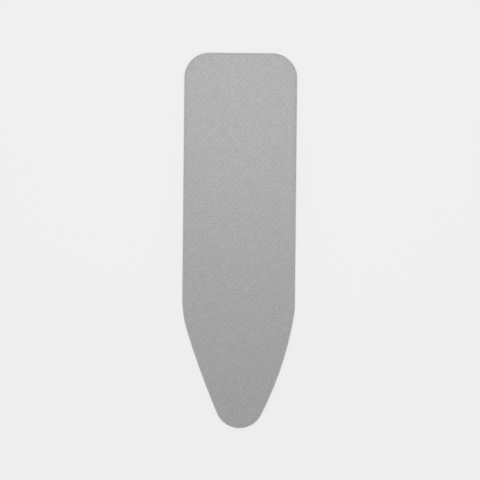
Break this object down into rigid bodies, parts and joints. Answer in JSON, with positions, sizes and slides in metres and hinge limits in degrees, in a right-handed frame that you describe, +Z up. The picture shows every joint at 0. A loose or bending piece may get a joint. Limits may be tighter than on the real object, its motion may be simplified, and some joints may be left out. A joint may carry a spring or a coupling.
{
  "type": "ironing board cover",
  "caption": "Metallised cotton ironing board cover over foam and felt layers, with a turned-under skirt, a drawstring hem closed by a sprung cord lock, and hooked elastic straps.",
  "frame": {"origin": "on the resting plane, under the middle of the cover's outline", "axes": "+Z up, out of the ironing surface; +Y along the cover towards the square heel; +X to the right as seen from above with the heel away"},
  "size_m": [0.373, 1.24, 0.0374],
  "materials": {
    "metallised_cotton": "satin",
    "foam": "matte",
    "felt": "matte",
    "cotton_tape": "matte",
    "braided_cord": "matte",
    "elastic_webbing": "matte",
    "hook_plastic": "satin",
    "lock_plastic": "satin",
    "spring_steel": "polished"
  },
  "bodies": {
    "cover": {"cover_fabric": "metallised_cotton", "foam_layer": "foam", "felt_layer": "felt", "hem_tape_heel_left": "cotton_tape", "hem_tape_heel_right": "cotton_tape", "hem_tape_nose": "cotton_tape", "hem_tape_left_1": "cotton_tape", "hem_tape_left_2": "cotton_tape", "hem_tape_right_1": "cotton_tape", "hem_tape_right_2": "cotton_tape", "drawstring": "braided_cord", "cord_end_bead": "lock_plastic", "stretch_strap_1": "elastic_webbing", "stretch_strap_2": "elastic_webbing", "stretch_strap_3": "elastic_webbing"},
    "cord_lock": {"cord_lock_barrel": "lock_plastic", "cord_lock_spring": "spring_steel"},
    "lock_plunger": {"cord_lock_plunger": "lock_plastic"},
    "left_hook_1": {"strap_hook_left_1": "hook_plastic"},
    "left_hook_2": {"strap_hook_left_2": "hook_plastic"},
    "left_hook_3": {"strap_hook_left_3": "hook_plastic"},
    "right_hook_1": {"strap_hook_right_1": "hook_plastic"},
    "right_hook_2": {"strap_hook_right_2": "hook_plastic"},
    "right_hook_3": {"strap_hook_right_3": "hook_plastic"}
  },
  "joints": [
    {"name": "lock_slide", "type": "slide", "parent": "cover", "child": "cord_lock", "axis": [0, -1, 0], "range_m": [0, 0.04]},
    {"name": "plunger_press", "type": "slide", "parent": "cord_lock", "child": "lock_plunger", "axis": [-1, 0, 0], "range_m": [0, 0.0025], "stiffness_N_per_m": 1000, "springref_m": -0.002, "deforming": ["cord_lock_spring"]},
    {"name": "hook_pull_left_1", "type": "slide", "parent": "cover", "child": "left_hook_1", "axis": [-1, 0, 0], "range_m": [0, 0.008], "stiffness_N_per_m": 200, "springref_m": -0.03, "deforming": ["stretch_strap_1"]},
    {"name": "hook_pull_right_1", "type": "slide", "parent": "cover", "child": "right_hook_1", "axis": [1, 0, 0], "range_m": [0, 0.008], "stiffness_N_per_m": 200, "springref_m": -0.03, "deforming": ["stretch_strap_1"]},
    {"name": "hook_pull_left_2", "type": "slide", "parent": "cover", "child": "left_hook_2", "axis": [-1, 0, 0], "range_m": [0, 0.008], "stiffness_N_per_m": 200, "springref_m": -0.03, "deforming": ["stretch_strap_2"]},
    {"name": "hook_pull_right_2", "type": "slide", "parent": "cover", "child": "right_hook_2", "axis": [1, 0, 0], "range_m": [0, 0.008], "stiffness_N_per_m": 200, "springref_m": -0.03, "deforming": ["stretch_strap_2"]},
    {"name": "hook_pull_left_3", "type": "slide", "parent": "cover", "child": "left_hook_3", "axis": [-1, 0, 0], "range_m": [0, 0.008], "stiffness_N_per_m": 200, "springref_m": -0.03, "deforming": ["stretch_strap_3"]},
    {"name": "hook_pull_right_3", "type": "slide", "parent": "cover", "child": "right_hook_3", "axis": [1, 0, 0], "range_m": [0, 0.008], "stiffness_N_per_m": 200, "springref_m": -0.03, "deforming": ["stretch_strap_3"]}
  ]
}
